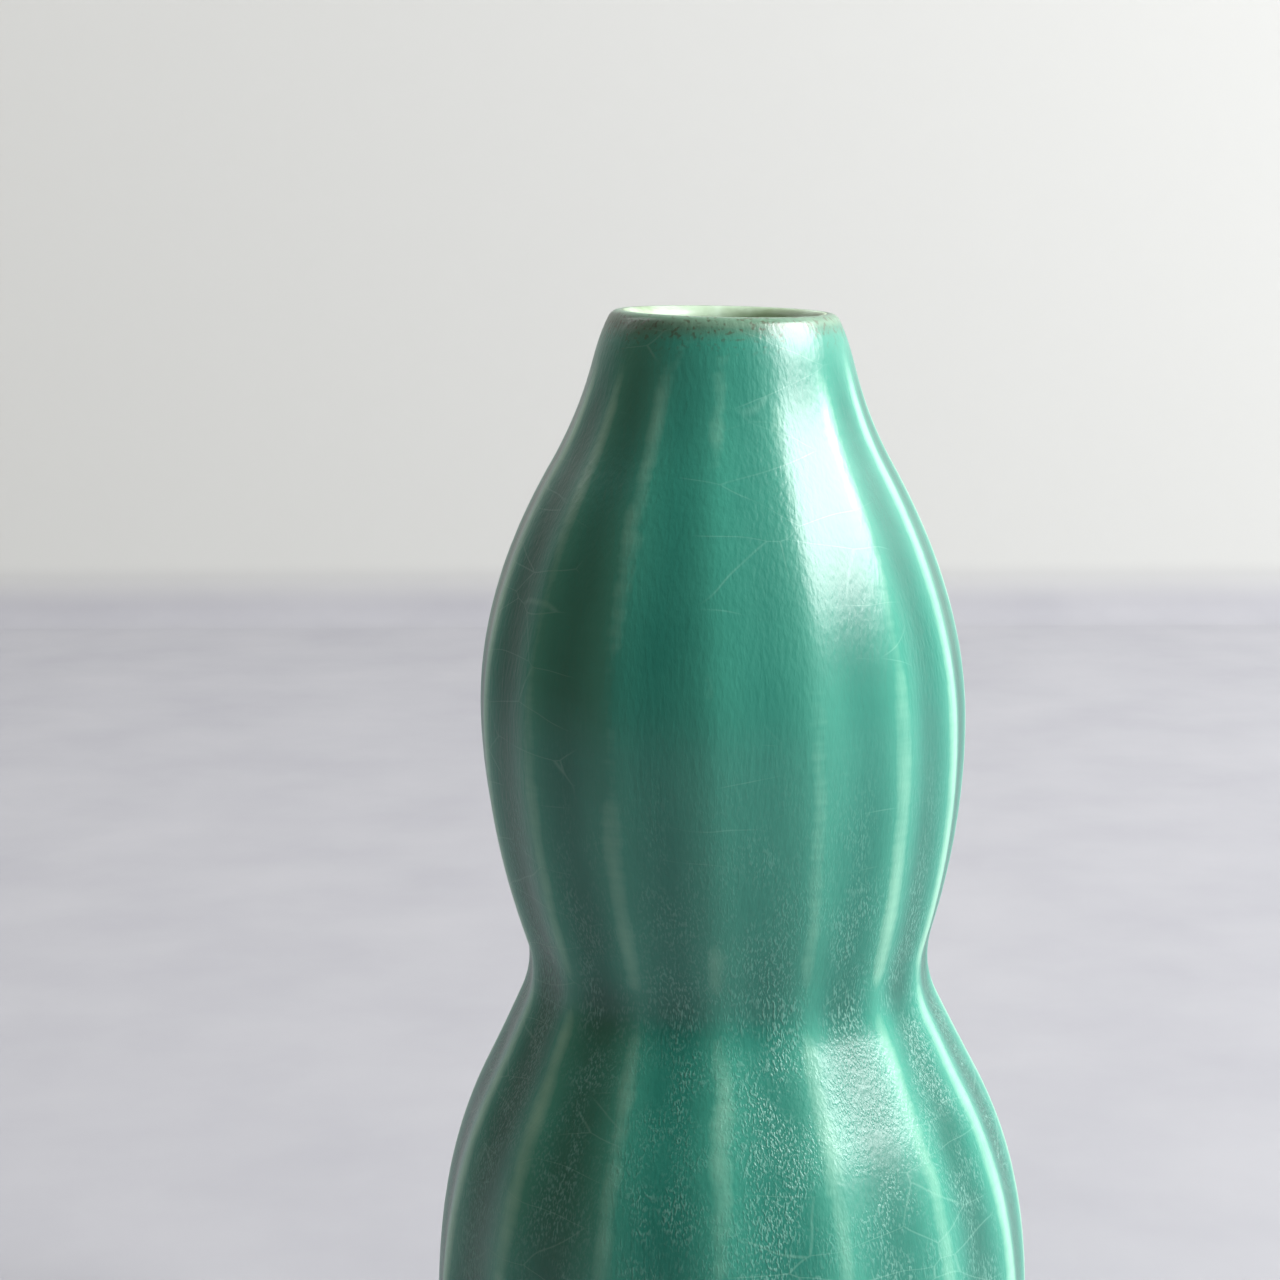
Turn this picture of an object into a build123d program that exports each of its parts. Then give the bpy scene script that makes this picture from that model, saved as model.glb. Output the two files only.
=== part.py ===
from build123d import *
from math import atan, ceil, cos, pi, radians, sin, sqrt
import os

# Double-gourd bud vase: a ribbed stoneware body under separate coats of glaze.
#
# Millimetres, +Z up. The origin is the centre of the foot, on the surface the vase stands on.
# The wall's outline is a chain of stations, each a height, a radius and a slope (the change of
# radius with height), joined by smooth cubics. Ribs are cut into it round the axis.

# Levels of the form, stacked from the surface it stands on up to the rim.
GLAZE_LINE_HEIGHT = 5.0
LOWER_BELLY_HEIGHT = 40.0
BELLY_TO_LOWER_SHOULDER = 36.0
LOWER_SHOULDER_TO_WAIST = 15.05
WAIST_TO_UPPER_BELLY = 31.75
UPPER_BELLY_TO_SHOULDER = 32.2
SHOULDER_TO_NECK = 12.0
NECK_TO_RIM = 7.0

# Radii of the glazed form, over the ridges of the ribs.
GLAZE_LINE_RADIUS = 26.6
LOWER_BELLY_RADIUS = 39.15
LOWER_SHOULDER_RADIUS = 32.0
WAIST_RADIUS = 25.9
UPPER_BELLY_RADIUS = 31.05
SHOULDER_RADIUS = 21.55
NECK_RADIUS = 16.55
LIP_CREST_RADIUS = 13.1
LIP_CREST_WIDTH = 0.3
LIP_ROUNDING = 1.4

# Slopes of the wall, as the change of radius with height.
FOOT_SLOPE = 0.8
LOWER_SHOULDER_SLOPE = -0.51
WAIST_SLOPE_BELOW = -0.47
WAIST_SLOPE_ABOVE = 0.315
SHOULDER_SLOPE = -0.57
NECK_SLOPE = -0.283
LIP_SLOPE = -0.52

# The crease of the waist: how far its rounding reaches below and above.
CREASE_BELOW = 5.0
CREASE_ABOVE = 4.0

# The turned foot, left bare of glaze.
FOOT_RADIUS = 24.0
FOOT_BEVEL = 0.8
FOOT_RING_WIDTH = 4.5
TRIM_STEP = 0.4
RECESS_DEPTH = 2.5
RECESS_DRAFT = 1.0

# Clay walls.
WALL = 4.2
FLOOR_THICKNESS = 7.5
FLOOR_LEVEL_RADIUS = 27.0
FLOOR_CORNER_RISE = 7.0

# Ribs, spaced and cut a little unevenly round the vase, as in work done by hand. The flutes
# are full depth at the two sides and are eased off by this share at the front and the back.
RIB_COUNT = 16
RIB_DEPTH_PER_RADIUS = 0.035
RIB_ROUNDING = 0.45
RIB_EASING = 0.55
FIRST_RIB_TURN = -93.6
RIB_DRIFT = 2.3
RIBS_END_BELOW_RIM = 2.5
RIBS_FULL_BELOW_RIM = 13.0
RIBS_END_ABOVE_LINE = 1.5
RIBS_FULL_ABOVE_LINE = 15.0

# Coats of glaze: an even thin coat, and the extra depth where it pools in the flutes.
GLAZE_COAT = 0.3
GLAZE_POOL = 0.4

# How finely the ribbed wall follows its formula.
POINTS_PER_RIB = 8
RING_SPACING = 5.0
LIP_RINGS = 3

WAIST_HEIGHT = LOWER_BELLY_HEIGHT + BELLY_TO_LOWER_SHOULDER + LOWER_SHOULDER_TO_WAIST
UPPER_BELLY_HEIGHT = WAIST_HEIGHT + WAIST_TO_UPPER_BELLY
SHOULDER_HEIGHT = UPPER_BELLY_HEIGHT + UPPER_BELLY_TO_SHOULDER
NECK_HEIGHT = SHOULDER_HEIGHT + SHOULDER_TO_NECK
RIM_HEIGHT = NECK_HEIGHT + NECK_TO_RIM
LIP_CENTRE_HEIGHT = RIM_HEIGHT - LIP_ROUNDING
LIP_TILT = atan(-LIP_SLOPE)
FLOOR_HEIGHT = RECESS_DEPTH + FLOOR_THICKNESS


def lip_end():
    """Height and radius where the rounded lip meets the sloping neck."""
    height = LIP_CENTRE_HEIGHT + LIP_ROUNDING * sin(LIP_TILT)
    radius = LIP_CREST_RADIUS + LIP_ROUNDING * cos(LIP_TILT)
    return height, radius


def wall_stations():
    """Stations of the outside from the lower belly up to the neck."""
    above_waist = WAIST_RADIUS + WAIST_SLOPE_ABOVE * CREASE_ABOVE / 2
    below_waist = WAIST_RADIUS - WAIST_SLOPE_BELOW * CREASE_BELOW / 2
    lower_shoulder_height = LOWER_BELLY_HEIGHT + BELLY_TO_LOWER_SHOULDER
    return [
        (LOWER_BELLY_HEIGHT, LOWER_BELLY_RADIUS, 0.0),
        (lower_shoulder_height, LOWER_SHOULDER_RADIUS, LOWER_SHOULDER_SLOPE),
        (WAIST_HEIGHT - CREASE_BELOW, below_waist, WAIST_SLOPE_BELOW),
        (WAIST_HEIGHT, WAIST_RADIUS, 0.0),
        (WAIST_HEIGHT + CREASE_ABOVE, above_waist, WAIST_SLOPE_ABOVE),
        (UPPER_BELLY_HEIGHT, UPPER_BELLY_RADIUS, 0.0),
        (SHOULDER_HEIGHT, SHOULDER_RADIUS, SHOULDER_SLOPE),
        (NECK_HEIGHT, NECK_RADIUS, NECK_SLOPE),
    ]


def outside_stations():
    """Stations of the whole glazed outside, from the glaze line to the lip."""
    foot = (GLAZE_LINE_HEIGHT, GLAZE_LINE_RADIUS, FOOT_SLOPE)
    lip = (*lip_end(), LIP_SLOPE)
    return [foot, *wall_stations(), lip]


def radius_at(height):
    """Radius of the glazed outside over the ridges at one height."""
    stations = outside_stations()
    for low, high in zip(stations, stations[1:]):
        if height <= high[0]:
            break
    span = high[0] - low[0]
    t = (height - low[0]) / span
    near = low[1] * (1 + 2 * t) * (1 - t) ** 2 + low[2] * span * t * (1 - t) ** 2
    far = high[1] * t**2 * (3 - 2 * t) - high[2] * span * t**2 * (1 - t)
    return near + far


def ease(value, start, end):
    """Smooth step from 0 at start to 1 at end."""
    t = min(max((value - start) / (end - start), 0.0), 1.0)
    return t * t * (3 - 2 * t)


def rib_strength(height):
    """Share of the full rib depth at one height: none at the lip and at the foot."""
    below_rim = RIM_HEIGHT - height
    above_line = height - GLAZE_LINE_HEIGHT
    top = ease(below_rim, RIBS_END_BELOW_RIM, RIBS_FULL_BELOW_RIM)
    return top * ease(above_line, RIBS_END_ABOVE_LINE, RIBS_FULL_ABOVE_LINE)


def flute(position):
    """Share of the flute depth at a rib position: 0 on a whole number, 1 half way between."""
    bare = sqrt(sin(pi * position) ** 2 + RIB_ROUNDING**2) - RIB_ROUNDING
    return bare / (sqrt(1 + RIB_ROUNDING**2) - RIB_ROUNDING)


def turn_at(position):
    """Angle round the axis, in radians, of a rib position."""
    even = position * 360 / RIB_COUNT
    return radians(FIRST_RIB_TURN + even + RIB_DRIFT * sin(radians(even)))


def ring(height, ridge_radius, depth):
    """Closed curve round the axis whose flutes are cut to the given depth."""
    points = []
    count = RIB_COUNT * POINTS_PER_RIB
    for step in range(count):
        position = step / POINTS_PER_RIB
        turn = turn_at(position)
        share = 1 - RIB_EASING * sin(turn) ** 2
        radius = ridge_radius - depth * share * flute(position)
        points.append((radius * cos(turn), radius * sin(turn), height))
    return Wire([Edge.make_spline(points, periodic=True, parameters=range(count + 1))])


def wall_heights():
    """Heights of the rings from the glaze line up to the end of the neck."""
    heights = [GLAZE_LINE_HEIGHT]
    stations = outside_stations()
    for low, high in zip(stations, stations[1:]):
        count = ceil((high[0] - low[0]) / RING_SPACING)
        for step in range(1, count + 1):
            heights.append(low[0] + (high[0] - low[0]) * step / count)
    return heights


def ribbed_form(coat, pool):
    """Solid form of the vase, less an even coat and less a pool in the flutes."""
    rings = []
    for height in wall_heights()[:-1]:
        radius = radius_at(height)
        depth = RIB_DEPTH_PER_RADIUS * radius - GLAZE_POOL + pool
        rings.append(ring(height, radius - coat, depth * rib_strength(height)))
    rounding = LIP_ROUNDING - coat
    for step in range(LIP_RINGS + 1):
        tilt = LIP_TILT + (pi / 2 - LIP_TILT) * step / LIP_RINGS
        height = LIP_CENTRE_HEIGHT + rounding * sin(tilt)
        rings.append(ring(height, LIP_CREST_RADIUS + rounding * cos(tilt), 0.0))
    return Solid.make_loft(rings)


def bezier(low, high):
    """Outline edge between two stations, the exact cubic that radius_at follows."""
    third = (high[0] - low[0]) / 3
    start = (low[1], 0, low[0])
    leave = (low[1] + low[2] * third, 0, low[0] + third)
    arrive = (high[1] - high[2] * third, 0, high[0] - third)
    return Edge.make_bezier(start, leave, arrive, (high[1], 0, high[0]))


def hollow(coat):
    """Space inside the clay, less a coat of glaze on its wall, open above the rim."""
    rounding = LIP_ROUNDING - GLAZE_COAT + coat
    crest_radius = LIP_CREST_RADIUS - LIP_CREST_WIDTH
    stations = []
    for height, radius, slope in wall_stations():
        inset = WALL + RIB_DEPTH_PER_RADIUS * radius + coat
        stations.append((height, radius - inset, slope))
    stations.append((LIP_CENTRE_HEIGHT, crest_radius - rounding, 0.0))
    floor = FLOOR_HEIGHT + coat
    side = stations[0][1]
    corner = [(FLOOR_LEVEL_RADIUS, 0, floor), (side, 0, floor + FLOOR_CORNER_RISE)]
    edges = [Edge.make_bezier((0, 0, floor), *corner, (side, 0, LOWER_BELLY_HEIGHT))]
    edges += [bezier(low, high) for low, high in zip(stations, stations[1:])]
    lip = Plane((crest_radius, 0, LIP_CENTRE_HEIGHT), x_dir=(1, 0, 0), z_dir=(0, -1, 0))
    edges.append(Edge.make_circle(rounding, lip, 90, 180))
    crest = (crest_radius, 0, LIP_CENTRE_HEIGHT + rounding)
    above = RIM_HEIGHT + LIP_ROUNDING
    corners = [crest, (crest_radius, 0, above), (0, 0, above), (0, 0, floor)]
    edges += [Edge.make_line(a, b) for a, b in zip(corners, corners[1:])]
    return Solid.revolve(Face(Wire(edges)), 360, Axis.Z)


def turned(*outline):
    """Solid turned round the axis from (radius, height) corners."""
    wire = Wire.make_polygon([(radius, 0, height) for radius, height in outline])
    return Solid.revolve(Face(wire), 360, Axis.Z)


def foot():
    """Bare trimmed foot, set into the body above it."""
    seat = GLAZE_LINE_RADIUS - GLAZE_COAT - TRIM_STEP
    inside = GLAZE_LINE_HEIGHT + FOOT_RING_WIDTH
    return turned(
        (0, 0),
        (FOOT_RADIUS - FOOT_BEVEL, 0),
        (FOOT_RADIUS, FOOT_BEVEL),
        (seat, GLAZE_LINE_HEIGHT),
        (FOOT_RADIUS - FOOT_BEVEL, inside),
        (0, inside),
    )


def recess(low, high):
    """Slice of the hollow under the foot, between two heights."""
    wide = FOOT_RADIUS - FOOT_BEVEL - FOOT_RING_WIDTH
    draft = RECESS_DRAFT / RECESS_DEPTH
    return turned((0, low), (wide - draft * low, low), (wide - draft * high, high), (0, high))


def main():
    """Build every piece and write it to its own file."""
    raw_form = ribbed_form(GLAZE_COAT, GLAZE_POOL)
    glazed_form = ribbed_form(0.0, 0.0)
    raw_hollow = hollow(0.0)
    above_lip = RIM_HEIGHT + LIP_ROUNDING
    mouth = turned(
        (0, FLOOR_HEIGHT),
        (LIP_CREST_RADIUS - LIP_CREST_WIDTH, FLOOR_HEIGHT),
        (LIP_CREST_RADIUS - LIP_CREST_WIDTH, above_lip),
        (0, above_lip),
    )
    pieces = {
        "clay_body": raw_form + foot() - raw_hollow - recess(-FOOT_BEVEL, RECESS_DEPTH),
        "outer_glaze": glazed_form - raw_form - mouth,
        "liner_glaze": raw_hollow - hollow(GLAZE_COAT),
        "base_glaze": recess(RECESS_DEPTH - GLAZE_COAT, RECESS_DEPTH),
    }
    os.makedirs("parts", exist_ok=True)
    for name, piece in pieces.items():
        piece.label = name
        export_step(piece, f"parts/{name}.step")
        print(name, "solids", len(piece.solids()), "volume", round(piece.volume), "cubic mm")


main()
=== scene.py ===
"""Looks of a double-gourd bud vase: ribbed stoneware under a satin teal glaze.

Sizes of the form are in millimetres, heights from the surface the vase stands on. The meshes are
in metres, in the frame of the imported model.
"""

import logging
from collections.abc import Mapping, Sequence
from dataclasses import dataclass, field
from enum import Enum
from math import atan, cos, pi, radians, sin, sqrt
from typing import Any

import bpy
import numpy as np
from mathutils import Matrix, Vector


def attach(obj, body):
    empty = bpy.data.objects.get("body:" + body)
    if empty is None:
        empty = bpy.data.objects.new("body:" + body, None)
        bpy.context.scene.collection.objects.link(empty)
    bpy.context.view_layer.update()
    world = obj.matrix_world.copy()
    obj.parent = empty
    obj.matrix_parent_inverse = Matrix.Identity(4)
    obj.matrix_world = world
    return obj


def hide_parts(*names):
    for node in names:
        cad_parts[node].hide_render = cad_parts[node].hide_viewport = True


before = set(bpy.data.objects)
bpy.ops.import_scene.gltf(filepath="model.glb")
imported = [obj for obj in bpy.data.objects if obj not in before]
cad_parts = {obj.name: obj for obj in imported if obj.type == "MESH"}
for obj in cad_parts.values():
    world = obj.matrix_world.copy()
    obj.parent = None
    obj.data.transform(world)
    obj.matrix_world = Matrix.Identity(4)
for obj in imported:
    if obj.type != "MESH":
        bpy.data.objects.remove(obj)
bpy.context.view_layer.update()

MM = 0.001
FULL_TURN = 2 * pi
LOG = logging.getLogger("bud_vase")

Row = np.ndarray
Settings = Mapping[str, Any]
Inputs = Mapping[str | int, Any]
Stops = Sequence[tuple[float, str]]


# ---------------------------------------------------------------- tools of the trade


def linear(hex_colour: str) -> tuple[float, float, float, float]:
    """Turn an sRGB hex colour into linear red, green, blue and alpha.

    Args:
        hex_colour: colour such as "#2F8A76".

    Returns:
        The four linear channels.
    """
    knee, low_slope, offset, power = 0.04045, 12.92, 0.055, 2.4
    channels = []
    for start in (1, 3, 5):
        value = int(hex_colour[start:start + 2], 16) / 255
        curved = ((value + offset) / (1 + offset)) ** power
        channels.append(value / low_slope if value <= knee else curved)
    return channels[0], channels[1], channels[2], 1.0


def add_node(
    tree: bpy.types.NodeTree,
    kind: str,
    settings: Settings | None = None,
    inputs: Inputs | None = None,
    stops: Stops | None = None,
) -> bpy.types.Node:
    """Add one node with its settings, its input values or links, and its ramp stops.

    Args:
        tree: the material's node tree.
        kind: Blender's name for the node's type.
        settings: properties of the node.
        inputs: a value, or an output socket to link, for each input.
        stops: positions and hex colours, for a node that holds a ramp.

    Returns:
        The new node.
    """
    node = tree.nodes.new(kind)
    for name, value in (settings or {}).items():
        setattr(node, name, value)
    for name, value in (inputs or {}).items():
        if isinstance(value, bpy.types.NodeSocket):
            tree.links.new(value, node.inputs[name])
        else:
            node.inputs[name].default_value = value
    if stops:
        elements = node.color_ramp.elements
        while len(elements) < len(stops):
            elements.new(1.0)
        for element, (position, colour) in zip(elements, stops):
            element.position = position
            element.color = linear(colour)
    return node


def lathe(name: str, rows: Sequence[Row], poles: tuple[Vector, Vector] | None) -> bpy.types.Object:
    """Join rows of points round the axis into one closed mesh.

    Args:
        name: the piece's name.
        rows: one array of points for each row, in metres, all of one length.
        poles: the points on the axis before the first row and after the last one, or None where
            the last row joins the first.

    Returns:
        The piece, smooth shaded, in the scene.
    """
    count = len(rows[0])
    points = np.concatenate(rows)
    turn = np.arange(count)
    onward = (turn + 1) % count
    bands = len(rows) if poles is None else len(rows) - 1
    faces: list[list[int]] = []
    for band in range(bands):
        low = band * count
        high = (band + 1) % len(rows) * count
        quads = np.stack([low + turn, low + onward, high + onward, high + turn], axis=1)
        faces.extend(quads.tolist())
    vertices = points.tolist()
    if poles is not None:
        first, last = len(vertices), len(vertices) + 1
        vertices += [list(poles[0]), list(poles[1])]
        end = (len(rows) - 1) * count
        faces.extend([[first, b, a] for a, b in zip(turn.tolist(), onward.tolist())])
        faces.extend([[end + a, end + b, last] for a, b in zip(turn.tolist(), onward.tolist())])
    mesh = bpy.data.meshes.new(name)
    mesh.from_pydata(vertices, [], faces)
    mesh.shade_smooth()
    mesh.update()
    piece = bpy.data.objects.new(name, mesh)
    bpy.context.scene.collection.objects.link(piece)
    return piece


def paint(piece: bpy.types.Object, name: str, values: np.ndarray) -> None:
    """Store one number per point of a piece, for its material to read.

    Args:
        piece: the piece.
        name: the attribute's name.
        values: one value for each point, in order; points past its end keep 0.
    """
    attribute = piece.data.attributes.new(name, "FLOAT", "POINT")
    padded = np.zeros(len(piece.data.vertices), dtype=np.float32)
    padded[:len(values)] = values
    attribute.data.foreach_set("value", padded)


def ease(value: float, start: float, end: float) -> float:
    """Smooth step from 0 at start to 1 at end."""
    share = min(max((value - start) / (end - start), 0.0), 1.0)
    return share * share * (3 - 2 * share)


# ---------------------------------------------------------------- the form


@dataclass(frozen=True)
class Station:
    """A place on the wall's outline: its height, radius and change of radius with height."""

    height: float
    radius: float
    slope: float


@dataclass(frozen=True)
class GourdForm:
    """The thrown and ribbed shape that every piece of the vase follows, in millimetres."""

    glaze_line_height: float = 5.0
    lower_belly_height: float = 40.0
    belly_to_lower_shoulder: float = 36.0
    lower_shoulder_to_waist: float = 15.05
    waist_to_upper_belly: float = 31.75
    upper_belly_to_shoulder: float = 32.2
    shoulder_to_neck: float = 12.0
    neck_to_rim: float = 7.0
    glaze_line_radius: float = 26.6
    lower_belly_radius: float = 39.15
    lower_shoulder_radius: float = 32.0
    waist_radius: float = 25.9
    upper_belly_radius: float = 31.05
    shoulder_radius: float = 21.55
    neck_radius: float = 16.55
    lip_crest_radius: float = 13.1
    lip_crest_width: float = 0.3
    lip_rounding: float = 1.4
    foot_slope: float = 0.8
    lower_shoulder_slope: float = -0.51
    waist_slope_below: float = -0.47
    waist_slope_above: float = 0.315
    shoulder_slope: float = -0.57
    neck_slope: float = -0.283
    lip_slope: float = -0.52
    crease_below: float = 5.0
    crease_above: float = 4.0
    wall: float = 4.2
    floor_height: float = 10.0
    floor_level_radius: float = 27.0
    floor_corner_rise: float = 7.0
    rib_count: int = 16
    rib_depth_per_radius: float = 0.035
    rib_rounding: float = 0.45
    rib_easing: float = 0.55
    first_rib_turn: float = -93.6
    rib_drift: float = 2.3
    ribs_end_below_rim: float = 2.5
    ribs_full_below_rim: float = 13.0
    ribs_end_above_line: float = 1.5
    ribs_full_above_line: float = 15.0
    glaze_coat: float = 0.3
    glaze_pool: float = 0.4
    # The maker's hand: the axis wanders and the rim dips by fractions of a millimetre.
    wander: float = 0.77
    wander_length: float = 174.0
    wander_start: float = 57.0
    rim_dip: float = 0.3
    rim_dip_turn: float = 5.0
    rim_dip_reach: float = 9.0
    segments_per_rib: int = 22

    @property
    def waist_height(self) -> float:
        """Height of the crease between the two bellies."""
        return self.lower_belly_height + self.belly_to_lower_shoulder + self.lower_shoulder_to_waist

    @property
    def upper_belly_height(self) -> float:
        """Height of the widest part of the upper belly."""
        return self.waist_height + self.waist_to_upper_belly

    @property
    def neck_height(self) -> float:
        """Height of the top of the neck."""
        return self.upper_belly_height + self.upper_belly_to_shoulder + self.shoulder_to_neck

    @property
    def rim_height(self) -> float:
        """Height of the top of the lip."""
        return self.neck_height + self.neck_to_rim

    @property
    def lip_centre_height(self) -> float:
        """Height of the middle of the rounded lip."""
        return self.rim_height - self.lip_rounding

    @property
    def lip_tilt(self) -> float:
        """Angle, in radians, at which the lip's rounding meets the neck."""
        return atan(-self.lip_slope)

    @property
    def segments(self) -> int:
        """Number of points in one row round the vase."""
        return self.rib_count * self.segments_per_rib

    def wall_stations(self) -> list[Station]:
        """Chain the stations from the lower belly up to the neck.

        Returns:
            The stations, from low to high.
        """
        below = self.waist_radius - self.waist_slope_below * self.crease_below / 2
        above = self.waist_radius + self.waist_slope_above * self.crease_above / 2
        shoulder_height = self.upper_belly_height + self.upper_belly_to_shoulder
        lower_shoulder_height = self.lower_belly_height + self.belly_to_lower_shoulder
        return [
            Station(self.lower_belly_height, self.lower_belly_radius, 0.0),
            Station(lower_shoulder_height, self.lower_shoulder_radius, self.lower_shoulder_slope),
            Station(self.waist_height - self.crease_below, below, self.waist_slope_below),
            Station(self.waist_height, self.waist_radius, 0.0),
            Station(self.waist_height + self.crease_above, above, self.waist_slope_above),
            Station(self.upper_belly_height, self.upper_belly_radius, 0.0),
            Station(shoulder_height, self.shoulder_radius, self.shoulder_slope),
            Station(self.neck_height, self.neck_radius, self.neck_slope),
        ]

    def outside_stations(self) -> list[Station]:
        """Chain the stations from the glaze line up to the lip.

        Returns:
            The stations, from low to high.
        """
        foot = Station(self.glaze_line_height, self.glaze_line_radius, self.foot_slope)
        lip_height = self.lip_centre_height + self.lip_rounding * sin(self.lip_tilt)
        lip_radius = self.lip_crest_radius + self.lip_rounding * cos(self.lip_tilt)
        return [foot, *self.wall_stations(), Station(lip_height, lip_radius, self.lip_slope)]

    def inside_stations(self, coat: float) -> list[Station]:
        """Chain the stations of the hollow, from the lower belly up to the mouth.

        Args:
            coat: thickness of the glaze on the inside wall.

        Returns:
            The stations, with the lip's own rounding left out.
        """
        inset = self.wall + coat
        stations = [
            Station(s.height, s.radius * (1 - self.rib_depth_per_radius) - inset, s.slope)
            for s in self.wall_stations()
        ]
        mouth = self.lip_crest_radius - self.lip_crest_width - self.lip_rounding
        return [*stations, Station(self.lip_centre_height, mouth + self.glaze_coat - coat, 0.0)]

    @staticmethod
    def radius_on(stations: Sequence[Station], height: float) -> float:
        """Radius at one height on a chain of stations joined by smooth cubics.

        Args:
            stations: the chain, from low to high.
            height: the height.

        Returns:
            The radius there.
        """
        pairs = list(zip(stations, stations[1:]))
        low, high = next((p for p in pairs if height <= p[1].height), pairs[-1])
        span = high.height - low.height
        t = (height - low.height) / span
        # Hermite's cubic: it meets both radii and both slopes.
        near = low.radius * (1 + 2 * t) * (1 - t) ** 2 + low.slope * span * t * (1 - t) ** 2
        far = high.radius * t**2 * (3 - 2 * t) - high.slope * span * t**2 * (1 - t)
        return near + far

    def rib_strength(self, height: float) -> float:
        """Share of the full rib depth at one height: none at the lip and at the foot.

        Args:
            height: the height.

        Returns:
            The share, from 0 to 1.
        """
        top = ease(self.rim_height - height, self.ribs_end_below_rim, self.ribs_full_below_rim)
        above_line = height - self.glaze_line_height
        return top * ease(above_line, self.ribs_end_above_line, self.ribs_full_above_line)

    def positions(self) -> np.ndarray:
        """Rib position of every point in a row; a whole number is the crest of a rib."""
        return np.arange(self.segments) / self.segments_per_rib

    def cut(self) -> np.ndarray:
        """How deep the flutes are cut at every point in a row: fully at the vase's two sides."""
        return 1 - self.rib_easing * np.sin(self.turns()) ** 2

    def flutes(self) -> np.ndarray:
        """Share of the flute depth for every point in a row.

        Returns:
            The shares: 0 on a rib's crest and at most 1 in the middle of a flute.
        """
        rounding = self.rib_rounding
        bare = np.sqrt(np.sin(pi * self.positions()) ** 2 + rounding**2) - rounding
        return self.cut() * bare / (sqrt(1 + rounding**2) - rounding)

    def turns(self) -> np.ndarray:
        """Angle round the axis of every point in a row, in radians."""
        even = self.positions() * FULL_TURN / self.rib_count
        return radians(self.first_rib_turn) + even + radians(self.rib_drift) * np.sin(even)

    def row(self, height: float, radii: np.ndarray | float, lift: np.ndarray | float = 0.0) -> Row:
        """Points of one row round the vase, with the wander of a thrown pot.

        Args:
            height: the row's height.
            radii: the radius of every point.
            lift: how much higher than the row each point lies.

        Returns:
            The points, in metres.
        """
        turns = self.turns()
        below_rim = self.rim_height - height
        aside = self.wander * cos(FULL_TURN * (below_rim + self.wander_start) / self.wander_length)
        aside *= ease(height, 0.0, self.lower_belly_height)
        dip = self.rim_dip * ease(-below_rim, -self.rim_dip_reach, 0.0)
        heights = height - dip * np.cos(turns - radians(self.rim_dip_turn)) + lift
        x = radii * np.cos(turns) + aside
        return np.stack([x, radii * np.sin(turns), heights], axis=1) * MM


def spread(low: float, high: float, spacing: float) -> list[float]:
    """Evenly spaced values from low to high, no further apart than spacing."""
    return np.linspace(low, high, max(2, int(abs(high - low) / spacing) + 2)).tolist()


# ---------------------------------------------------------------- finishes


class Slot(Enum):
    """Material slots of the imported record."""

    BARE_STONEWARE = "bare_stoneware"
    OUTER_GLAZE = "outer_glaze"
    LINER_GLAZE = "liner_glaze"
    BASE_GLAZE = "base_glaze"


@dataclass(frozen=True)
class Grain:
    """A pattern's size in millimetres, and how much longer it is upwards than sideways."""

    size: float
    stretch: float = 1.0
    detail: float = 2.0

    def noise(self, tree: bpy.types.NodeTree, place: bpy.types.NodeSocket) -> bpy.types.NodeSocket:
        """Lay the pattern out as noise.

        Args:
            tree: the material's node tree.
            place: the point on the piece, in millimetres.

        Returns:
            The noise, from 0 to 1 and mostly near a half.
        """
        squash = (1.0, 1.0, 1.0 / self.stretch)
        multiply = {"operation": "MULTIPLY"}
        spaced = add_node(tree, "ShaderNodeVectorMath", multiply, {0: place, 1: squash})
        inputs = {"Vector": spaced.outputs[0], "Scale": 1 / self.size, "Detail": self.detail}
        return add_node(tree, "ShaderNodeTexNoise", None, inputs).outputs["Fac"]


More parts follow.
